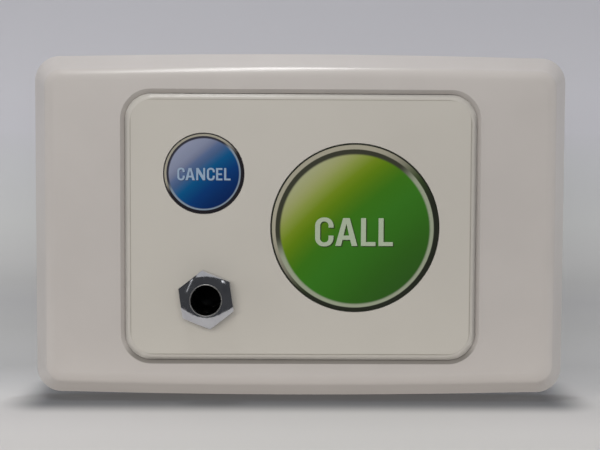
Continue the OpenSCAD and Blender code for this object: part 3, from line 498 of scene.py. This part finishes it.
def paintLipShade(material, look, window):  # painted shade on the window's lower lip, where the proud plate keeps off the light from above
    tree = material.node_tree
    shader = tree.nodes["Principled BSDF"]
    place = addNode(tree, "ShaderNodeTexCoord").outputs["Object"]
    width, height, corner = window
    core = ((width / 2 - corner) * mm, 0, (height / 2 - corner) * mm)
    near, far = ((corner + step) * mm for step in look["edge"])
    onLip = addNode(tree, "ShaderNodeMapRange", {
        "Value": reachFrom(tree, place, (1, 0, 1), core), "From Min": near, "From Max": far,
        "To Min": 1, "To Max": 0}, interpolation_type="SMOOTHSTEP")
    up = addNode(tree, "ShaderNodeSeparateXYZ", {0: place}).outputs["Z"]
    low, high = (step * mm for step in look["height"])
    below = addNode(tree, "ShaderNodeMapRange", {
        "Value": up, "From Min": low, "From Max": high, "To Min": 1, "To Max": 0},
        interpolation_type="SMOOTHSTEP")
    amount = addNode(tree, "ShaderNodeMath", {0: onLip.outputs["Result"], 1: below.outputs["Result"]},
                     operation="MULTIPLY").outputs["Value"]
    resin = shader.inputs["Base Color"].links[0].from_socket
    # the resin's colour, darkened by the painted shade
    paintedShadeMix = addNode(tree, "ShaderNodeMix", {0: amount, 6: resin, 7: look["tone"]}, data_type="RGBA")
    tree.links.new(paintedShadeMix.outputs[2], shader.inputs["Base Color"])


# painted shade darkens the lower lip of the window in the surround's resin
paintLipShade(boneResin, surround["lipPaintedShade"], surround["window"])
surroundPiece = placePiece("surround_moulding", makeSurround(surround), boneResin, "cover",
                           bevel=surround["edgeRounding"])
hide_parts("surround_cover")
print("surround lofted")


# Grid plate: the CAD moulding, merged so that its bevel and corners shade as curves

def smoothCopy(node, name, material, body, sharpAngle=28):
    bm = bmesh.new()
    bm.from_mesh(nodes[node].data)
    bmesh.ops.transform(bm, matrix=upright.inverted(), verts=bm.verts)
    return placePiece(name, bm, material, body, sharpAngle)


platePiece = smoothCopy("grid_plate", "grid_plate_moulding", plateResin, "plate")
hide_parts("grid_plate")
print("grid plate smoothed")


# Snap domes of the two switches, each a smoothed copy of its CAD node with a mesh of its own; on the real
# switch they flatten under their plungers

domes = {"keyTravel": 0.35, "keys": ("call", "cancel")}
for key in domes["keys"]:
    node = key + "_switch_dome"
    dome = smoothCopy(node, key + "_snap_dome", nickel, "plate")
    low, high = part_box(node)
    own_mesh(dome)
    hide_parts(node)
print("snap domes set")


# Dress nut: a crown turned round its hole, then cut to a hexagon by six flats

bushLow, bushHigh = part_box("jack_bush")
nut = {
    "flats": 6, "acrossFlats": 10.8, "turn": 38, "hole": 3.2, "thread": 4.55, "web": 1.1,
    "lipWidth": 0.2, "lipRise": 0.12, "lipSteps": 6, "crownRadius": 7.6, "crownMiddle": 2.5, "arcSteps": 14,
    "roundSteps": 96, "cutSpare": 0.2, "cutGap": 0.0001, "edgeRounding": 0.13, "sharpAngle": 30,
    "rimProud": 0.02, "rimSteps": 12, "rimSharpAngle": 60,
}
jackX = (bushLow.x + bushHigh.x) / 2 / mm
jackY = (bushLow.z + bushHigh.z) / 2 / mm
filmFront = -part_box("label_film")[0].y / mm
nutTop = -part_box("jack_nut")[0].y / mm - nut["lipRise"]


def makeNut(look):
    bm = bmesh.new()
    halfTurn = math.radians(180 / look["flats"])  # from the middle of a flat to its corner
    reach = look["acrossFlats"] / 2 / math.cos(halfTurn) + look["cutSpare"]
    lipEnd = look["hole"] + look["lipWidth"]
    lipTop = nutTop + look["lipRise"]
    under = nutTop - look["web"]
    middle = look["lipWidth"] / 2
    profile = [(look["thread"], filmFront), (look["thread"], under), (look["hole"], under),
               (look["hole"], lipTop - middle)]
    for step in range(look["lipSteps"]):  # the lip's round top
        turn = math.radians(180 - 180 * (step + 1) / look["lipSteps"])
        profile.append((look["hole"] + middle + middle * math.cos(turn),
                        lipTop - middle + middle * math.sin(turn)))
    start = math.asin((lipEnd - look["crownMiddle"]) / look["crownRadius"])
    end = math.asin((reach - look["crownMiddle"]) / look["crownRadius"])
    for step in range(look["arcSteps"] + 1):
        turn = start + (end - start) * step / look["arcSteps"]
        profile.append((look["crownMiddle"] + look["crownRadius"] * math.sin(turn),
                        nutTop - look["crownRadius"] * (1 - math.cos(turn))))
    profile.append((reach, filmFront))
    spinRound(bm, [bm.verts.new((r, 0, z)) for r, z in profile], look["roundSteps"])
    bmesh.ops.remove_doubles(bm, verts=bm.verts, dist=mergeGap)
    for flat in range(look["flats"]):
        turn = math.radians(look["turn"]) + (2 * flat + 1) * halfTurn
        way = Vector((math.cos(turn), math.sin(turn), 0))
        cut = bmesh.ops.bisect_plane(bm, geom=bm.verts[:] + bm.edges[:] + bm.faces[:], dist=look["cutGap"],
                                     plane_co=way * look["acrossFlats"] / 2, plane_no=way, clear_outer=True)
        rimEdges = [g for g in cut["geom_cut"] if isinstance(g, bmesh.types.BMEdge)]
        bmesh.ops.holes_fill(bm, edges=rimEdges, sides=0)
    bmesh.ops.translate(bm, vec=(jackX, jackY, 0), verts=bm.verts)
    return bm


nutPiece = placePiece("jack_dress_nut", makeNut(nut), chrome, "plate", nut["sharpAngle"],
                      nut["edgeRounding"])
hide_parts("jack_nut")


def makeRim(look):  # a ring of round section over the nut's lip
    bm = bmesh.new()
    middle, reach = look["hole"] + look["lipWidth"] / 2, look["lipWidth"] / 2 + look["rimProud"]
    centre = Vector((middle, 0, nutTop + look["lipRise"] - look["lipWidth"] / 2))
    section = []
    for step in range(look["rimSteps"]):
        turn = math.radians(360 * step / look["rimSteps"])
        section.append(bm.verts.new(centre + reach * Vector((math.cos(turn), 0, math.sin(turn)))))
    spinRound(bm, section, look["roundSteps"])
    bmesh.ops.translate(bm, vec=(jackX, jackY, 0), verts=bm.verts)
    return bm


placePiece("jack_bush_rim", makeRim(nut), satinNickel, "plate", nut["rimSharpAngle"])
print("nut turned and cut")


# Words on the keys: plain block letters, each over a darker copy that lifts it off the ink

def flatInk(name, colour):  # screen-printed ink: dry and even, with a faintly uneven shine
    look = {"roughness": 0.42, "shine": (0.38, 0.48), "patch": 0.3, "patchEdges": (0.3, 0.7),
            "grain": 0.22, "depth": 0.003}
    material, tree, shader, place = startMaterial(name, colour, look["roughness"])
    patches = addNode(tree, "ShaderNodeTexNoise", {"Vector": place, "Scale": perSize(look["patch"])})
    shine = addNode(tree, "ShaderNodeMapRange", {
        "Value": patches.outputs["Fac"], "From Min": look["patchEdges"][0],
        "From Max": look["patchEdges"][1], "To Min": look["shine"][0], "To Max": look["shine"][1]},
        interpolation_type="SMOOTHSTEP")
    tree.links.new(shine.outputs["Result"], shader.inputs["Roughness"])
    addGrain(tree, shader, place, look)
    return material


letters = {  # shares of a letter's width, height or stem
    "tongueOfE": 0.92, "slantOfN": 1.15, "postOfN": 0.92, "joinOfN": 0.62,
    "footOfA": 0.26, "apexOfA": 0.3, "eyeTopOfA": 0.8, "crossOfA": (0.22, 0.37),
    "overshootOfC": 0.02, "mouthOfC": (0.37, 0.655), "outerRoundOfC": 0.46, "innerRoundOfC": 0.48,
    "roundSteps": 8,
}


def letterOutline(letter, w, h, stem, bar):  # the corners of a block letter, and of the eye of an A
    if letter == "L":
        return [(0, 0), (w, 0), (w, bar), (stem, bar), (stem, h), (0, h)], []
    if letter == "E":
        low, high, tongue = (h - bar) / 2, (h + bar) / 2, letters["tongueOfE"] * w
        return [(0, 0), (w, 0), (w, bar), (stem, bar), (stem, low), (tongue, low), (tongue, high),
                (stem, high), (stem, h - bar), (w, h - bar), (w, h), (0, h)], []
    if letter == "N":
        slant, post, join = letters["slantOfN"] * stem, letters["postOfN"] * stem, letters["joinOfN"] * h
        return [(0, 0), (post, 0), (post, join), (w - slant, 0), (w, 0), (w, h), (w - post, h),
                (w - post, h - join), (slant, h), (0, h)], []
    if letter == "A":
        foot, apex, eyeTop = letters["footOfA"] * w, letters["apexOfA"] * w, letters["eyeTopOfA"] * h
        crossLow, crossHigh = (share * h for share in letters["crossOfA"])
        lean = (w / 2 - foot) / eyeTop
        low, high = foot + lean * crossLow, foot + lean * crossHigh
        return ([(0, 0), (foot, 0), (low, crossLow), (w - low, crossLow), (w - foot, 0), (w, 0),
                 ((w + apex) / 2, h), ((w - apex) / 2, h)],
                [(high, crossHigh), (w - high, crossHigh), (w / 2, eyeTop)])
    over = letters["overshootOfC"] * h  # a C stands a hair over and under the line
    low, high = (share * h for share in letters["mouthOfC"])
    top, floor, inner = h + over, bar - over, w - stem
    return [(w, high), (w, top), (0, top), (0, -over), (w, -over), (w, low), (inner, low),
            (inner, floor), (stem, floor), (stem, top - bar), (inner, top - bar), (inner, high)], []


def makeWord(name, look, ink, body, shift=(0, 0), lift=0.0):
    # Flat outlines raised by the depth of the ink, moved aside by the shift and up by the lift
    bm = bmesh.new()
    left, foot = look["left"] + shift[0], look["foot"] + shift[1]
    stem, bar = look["stem"], look["bar"]
    for letter, width, gap in look["letters"]:
        outer, eye = letterOutline(letter, width, look["height"], stem, bar)
        verts = [bm.verts.new((left + x, foot + y, filmFront + lift)) for x, y in outer]
        if eye:
            hole = [bm.verts.new((left + x, foot + y, filmFront + lift)) for x, y in eye]
            bmesh.ops.triangle_fill(bm, use_beauty=True, edges=edgeLoop(bm, verts) + edgeLoop(bm, hole))
        else:
            bm.faces.new(verts)
        if letter == "C":
            rounds = ((verts[1:5], letters["outerRoundOfC"] * width),
                      (verts[7:11], letters["innerRoundOfC"] * (width - 2 * stem)))
            for corners, radius in rounds:
                bmesh.ops.bevel(bm, geom=corners, offset=radius, offset_type="OFFSET",
                                segments=letters["roundSteps"], profile=0.5, affect="VERTICES", material=-1)
        left += width + gap
    raised = bmesh.ops.extrude_face_region(bm, geom=bm.faces[:])["geom"]
    bmesh.ops.translate(bm, vec=(0, 0, look["inkDepth"]),
                        verts=[g for g in raised if isinstance(g, bmesh.types.BMVert)])
    return placePiece(name, bm, ink, body)


callWord = {  # each letter with its width and the gap after it
    "left": 3.07, "foot": -3.81, "height": 5.9, "stem": 1.06, "bar": 0.84, "inkDepth": 0.012,
    "shadeShift": (0.26, -0.22),
    "letters": [("C", 3.9, 0.37), ("A", 4.7, 0.75), ("L", 3.1, 0.62), ("L", 3.05, 0)]}
cancelWord = {
    "left": -26.07, "foot": 9.98, "height": 2.57, "stem": 0.43, "bar": 0.37, "inkDepth": 0.012,
    "shadeShift": (0.14, -0.14),
    "letters": [("C", 1.56, 0.13), ("A", 1.98, 0.32), ("N", 1.86, 0.38), ("C", 1.66, 0.28),
                ("E", 1.32, 0.38), ("L", 1.34, 0)]}
makeWord("call_word", callWord, flatInk("pale_green_ink", "A2AE97"), "call_key",
         lift=callWord["inkDepth"])
makeWord("call_word_shade", callWord, flatInk("dark_green_ink", "2A4016"), "call_key",
         shift=callWord["shadeShift"])
makeWord("cancel_word", cancelWord, flatInk("pale_blue_ink", "8A9DB3"), "cancel_key",
         lift=cancelWord["inkDepth"])
makeWord("cancel_word_shade", cancelWord, flatInk("dark_blue_ink", "16305C"), "cancel_key",
         shift=cancelWord["shadeShift"])
print("words printed")


# Finishes of the CAD nodes

def boxCentre(name):  # middle of a node, across and up
    a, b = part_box(name)
    return (a.x + b.x) / 2 / mm, (a.z + b.z) / 2 / mm


chipPart = {"pitch": 3.2, "halfBody": 0.6, "blend": 0.02, "tin": "BDBDBB", "roughness": 0.5,
            "grain": 0.1, "depth": 0.004}  # the same in both rows
finishes = {
    "label_film": filmMaterial(),
    "call_key_film": keyInk("call_key_print", callLook, boxCentre("call_key_film")),
    "cancel_key_film": keyInk("cancel_key_print", cancelLook, boxCentre("cancel_key_film")),
    "call_key_cap": capResin, "cancel_key_cap": capResin,
    "jack_washer": nickel, "jack_bush": nickel, "jack_body": blackNylon, "jack_tip_spring": brass,
    "jack_tip_lug": brass, "jack_break_contact": brass, "jack_sleeve_lug": brass,
    "circuit_board": boardMaterial(), "board_screws": nickel,
    "call_stop_pads": siliconeRubber, "cancel_stop_pads": siliconeRubber,
    "call_switch_base": blackNylon, "cancel_switch_base": blackNylon,
    "call_switch_frame": nickel, "cancel_switch_frame": nickel,
    "call_switch_plunger": blackNylon, "cancel_switch_plunger": blackNylon,
    "call_switch_legs": tin, "cancel_switch_legs": tin,
    "terminal_housing": greenNylon, "terminal_screws": nickel, "terminal_clamps": tin,
    "terminal_contacts": brass, "controller_chip": blackNylon, "chip_legs": tin, "crystal": nickel,
    "electrolytic_capacitor": canAluminium,
    "ceramic_capacitors": chipPartMaterial("ceramic_capacitor_body",
                                           {**chipPart, "body": "8E6F4B", "first": -8}),
    "resistors": chipPartMaterial("thick_film_resistor", {**chipPart, "body": "1B1B1D", "first": 0}),
}
for node, material in finishes.items():
    for slot in nodes[node].material_slots:
        slot.material = material
print("finishes set on", len(finishes), "CAD nodes")


# Camera, floor and light

camera = {"lens": 63.49, "sensor": 36, "distance": 233.84, "elevation": 2.79, "azimuth": -0.55,
          "roll": 0.24, "nearest": 5, "aim": (-0.045, 0, 0.11)}


def makeCamera(look):
    lens = bpy.data.cameras.new("camera")
    lens.lens = look["lens"]
    lens.sensor_width = look["sensor"]
    lens.sensor_fit = "HORIZONTAL"
    lens.clip_start = look["nearest"] * mm
    rig = bpy.data.objects.new("camera", lens)
    bpy.context.scene.collection.objects.link(rig)
    turn = math.radians(look["azimuth"])
    rise = math.radians(look["elevation"])
    aim = Vector(look["aim"]) * mm
    away = Vector((math.sin(turn) * math.cos(rise), -math.cos(turn) * math.cos(rise), math.sin(rise)))
    spot = aim + away * look["distance"] * mm
    facing = (-away).to_track_quat("-Z", "Y").to_matrix().to_4x4()
    roll = Matrix.Rotation(math.radians(look["roll"]), 4, "Z")
    rig.matrix_world = Matrix.Translation(spot) @ facing @ roll
    bpy.context.scene.camera = rig


makeCamera(camera)
bpy.context.scene.view_settings.view_transform = "Standard"

sweep = {"width": 900, "front": -53, "bend": 34, "bendRadius": 60, "bendSteps": 24, "height": 420,
         "colour": "C2BEBA", "roughness": 0.9, "grain": 0.6, "depth": 0.01,
         "path": (-40, 100), "floorPace": 0.5, "bounce": (1.38, 0.1), "bounceFade": (1, 10),
         # the foot entries paint a shadow round the object's foot; the tones paint the light's fall-off and a
         # band of shade along the paper
         "foot": (53, 9.8), "footShadowFade": 11, "footShadowTone": "737578",
         "paintedLightTones": [(0, "C6C4C2"), (0.07, "C9C7C6"), (0.14, "CCCBCA"), (0.21, "BABABA"), (0.29, "AAAAAA"),
                   (0.33, "A1A1A1"), (0.37, "9D9D9E"), (0.41, "A1A1A1"), (0.45, "AAAAAA"), (0.53, "B3B4B4"),
                   (0.66, "B8B9BC"), (0.73, "BBBBC1"), (0.79, "B9B9BF"), (0.88, "B5B5BB"), (1, "AFAFB5")]}


def paperMaterial(look, floorTop):
    # Matt paper with painted light in its colour: the studio light's fall-off along the floor and up the
    # back, a painted band of shade low on the back beside the object, and a painted shadow that closes in
    # round the foot of the object
    material, tree, shader, place = startMaterial("pale_paper", look["colour"], look["roughness"])
    apart = addNode(tree, "ShaderNodeSeparateXYZ", {0: place}).outputs
    toBend = addNode(tree, "ShaderNodeMath", {0: apart["Y"], 1: look["bend"] * mm}, operation="SUBTRACT")
    onFloor = addNode(tree, "ShaderNodeMath", {0: toBend.outputs[0], 1: 0}, operation="MINIMUM")
    path = addNode(tree, "ShaderNodeMath", {0: onFloor.outputs[0], 1: look["floorPace"], 2: apart["Z"]},
                   operation="MULTIPLY_ADD").outputs[0]
    start, end = ((floorTop + reach) * mm for reach in look["path"])
    # colours graded along the path, with the light's fall-off and the shade beside the object painted in
    share = addNode(tree, "ShaderNodeMapRange", {"Value": path, "From Min": start, "From Max": end})
    ramp = addNode(tree, "ShaderNodeValToRGB", {"Fac": share.outputs["Result"]})
    setStops(ramp, look["paintedLightTones"])

    away = reachFrom(tree, place, (1, 1, 0), tuple(half * mm for half in look["foot"]) + (0,))
    # painted shadow, darkest over the foot's box and fading out round it
    footShadow = addNode(tree, "ShaderNodeMapRange", {
        "Value": away, "From Min": 0, "From Max": look["footShadowFade"] * mm, "To Min": 1, "To Max": 0},
        interpolation_type="SMOOTHSTEP")
    tone = addNode(tree, "ShaderNodeMix", {
        0: footShadow.outputs["Result"], 6: ramp.outputs["Color"], 7: look["footShadowTone"]}, data_type="RGBA")
    tree.links.new(tone.outputs[2], shader.inputs["Base Color"])
    addGrain(tree, shader, place, look, detail=3.0)

    # A glow round the foot that lights the underside of the object and isn't seen itself
    rays = addNode(tree, "ShaderNodeLightPath").outputs
    seen = addNode(tree, "ShaderNodeMath", {0: rays["Is Camera Ray"], 1: rays["Is Glossy Ray"]},
                   operation="ADD")
    unseen = addNode(tree, "ShaderNodeMapRange", {"Value": seen.outputs["Value"], "To Min": 1, "To Max": 0},
                     interpolation_type="SMOOTHSTEP")
    near, far = (reach * mm for reach in look["bounceFade"])
    glow = addNode(tree, "ShaderNodeMapRange", {
        "Value": away, "From Min": near, "From Max": far, "To Min": look["bounce"][0],
        "To Max": look["bounce"][1]}, interpolation_type="SMOOTHSTEP")
    bounce = addNode(tree, "ShaderNodeMath", {0: unseen.outputs["Result"], 1: glow.outputs["Result"]},
                     operation="MULTIPLY")
    tree.links.new(bounce.outputs["Value"], shader.inputs["Emission Strength"])
    shader.inputs["Emission Color"].default_value = linear(look["colour"])

    behind = addNode(tree, "ShaderNodeNewGeometry").outputs["Backfacing"]  # clear from the back, to look past
    clear = addNode(tree, "ShaderNodeBsdfTransparent").outputs["BSDF"]
    paper = addNode(tree, "ShaderNodeMixShader", {0: behind, 1: shader.outputs["BSDF"], 2: clear})
    tree.links.new(paper.outputs["Shader"], tree.nodes["Material Output"].inputs["Surface"])
    return material


def makeSweep(look):
    # A seamless paper sweep: floor, quarter bend and upright back
    floorTop = cadBox[0][2] / mm
    bm = bmesh.new()
    ends = [bm.verts.new((side * look["width"] / 2, look["front"], floorTop)) for side in (-1, 1)]
    edge = bm.edges.new(ends)
    run = bmesh.ops.extrude_edge_only(bm, edges=[edge])["geom"]
    moved = [g for g in run if isinstance(g, bmesh.types.BMVert)]
    bmesh.ops.translate(bm, vec=(0, look["bend"] - look["front"], 0), verts=moved)
    lastEdge = [g for g in run if isinstance(g, bmesh.types.BMEdge) and all(v in moved for v in g.verts)]
    turned = bmesh.ops.spin(bm, geom=moved + lastEdge, cent=(0, look["bend"], floorTop + look["bendRadius"]),
                            axis=(1, 0, 0), angle=math.radians(90), steps=look["bendSteps"])["geom_last"]
    topEdge = [g for g in turned if isinstance(g, bmesh.types.BMEdge)]
    rise = bmesh.ops.extrude_edge_only(bm, edges=topEdge)["geom"]
    bmesh.ops.translate(bm, vec=(0, 0, look["height"]),
                        verts=[g for g in rise if isinstance(g, bmesh.types.BMVert)])
    bmesh.ops.recalc_face_normals(bm, faces=bm.faces)
    bmesh.ops.reverse_faces(bm, faces=bm.faces)  # an open sheet: its lit side is up and forward
    bmesh.ops.transform(bm, matrix=Matrix.Scale(mm, 4), verts=bm.verts)
    mesh = bpy.data.meshes.new("paper_sweep")
    bm.to_mesh(mesh)
    bm.free()
    mesh.shade_smooth()
    mesh.materials.append(paperMaterial(look, floorTop))
    piece = bpy.data.objects.new("paper_sweep", mesh)
    bpy.context.scene.collection.objects.link(piece)


makeSweep(sweep)


def makeLamp(name, look):  # a mirrored lamp shows in glossy pieces, and lights only those if it says so
    lamp = bpy.data.lights.new(name, "AREA")
    lamp.shape = "RECTANGLE"
    lamp.size = look["size"][0] * mm
    lamp.size_y = look["size"][1] * mm
    lamp.energy = look["power"]
    lamp.color = linear(look["colour"])[:3]
    rig = bpy.data.objects.new(name, lamp)
    rig.visible_glossy = look["mirrored"]
    rig.visible_diffuse = look.get("lights", True)
    rig.visible_camera = False
    bpy.context.scene.collection.objects.link(rig)
    spot = Vector(look["place"]) * mm
    aim = Vector(look["aim"]) * mm
    facing = (aim - spot).to_track_quat("-Z", "Y").to_matrix().to_4x4()
    rig.matrix_world = Matrix.Translation(spot) @ facing


lamps = {
    "overhead_softbox": {"size": (300, 50), "place": (-20, 13, 300), "aim": (0, 5, 0), "power": 0.62,
                         "colour": "FFFFFF", "mirrored": True},
    "front_fill": {"size": (420, 140), "place": (-40, -420, 100), "aim": (0, 0, 0), "power": 1.2,
                   "colour": "FFFCF8", "mirrored": False},
    "left_fill": {"size": (160, 90), "place": (-330, -40, 60), "aim": (0, 0, 0), "power": 0.21,
                  "colour": "FFFFFF", "mirrored": False},
    "right_fill": {"size": (160, 90), "place": (330, -40, 60), "aim": (0, 0, 0), "power": 0.24,
                   "colour": "FFFFFF", "mirrored": False},
    "nut_card": {"size": (240, 150), "place": (-10, -213, 206), "aim": (0, 0, 0), "power": 0.05,
                 "colour": "FFFFFF", "mirrored": True, "lights": False},
    "right_spark": {"size": (22, 22), "place": (85, -209, 93), "aim": (-22, -12, -17), "power": 0.0022,
                    "colour": "FFFFFF", "mirrored": True, "lights": False},
    "left_streak": {"size": (10, 110), "place": (-145, -217, 57), "aim": (-22, -12, -17), "power": 0.0022,
                    "colour": "FFFFFF", "mirrored": True, "lights": False},
}
for name, look in lamps.items():
    makeLamp(name, look)


def makeWorld():  # a grey room, darker where glossy pieces mirror it
    look = {"sky": "C9CBD0", "strength": 0.4, "glossStrength": 0.1}
    world = bpy.data.worlds.new("studio")
    world.use_nodes = True
    tree = world.node_tree
    background = tree.nodes["Background"]
    background.inputs["Color"].default_value = linear(look["sky"])
    gloss = addNode(tree, "ShaderNodeLightPath").outputs["Is Glossy Ray"]
    strength = addNode(tree, "ShaderNodeMapRange", {
        "Value": gloss, "To Min": look["strength"], "To Max": look["glossStrength"]},
        interpolation_type="SMOOTHSTEP")
    tree.links.new(strength.outputs["Result"], background.inputs["Strength"])
    bpy.context.scene.world = world


makeWorld()
print("camera, sweep and lamps set")
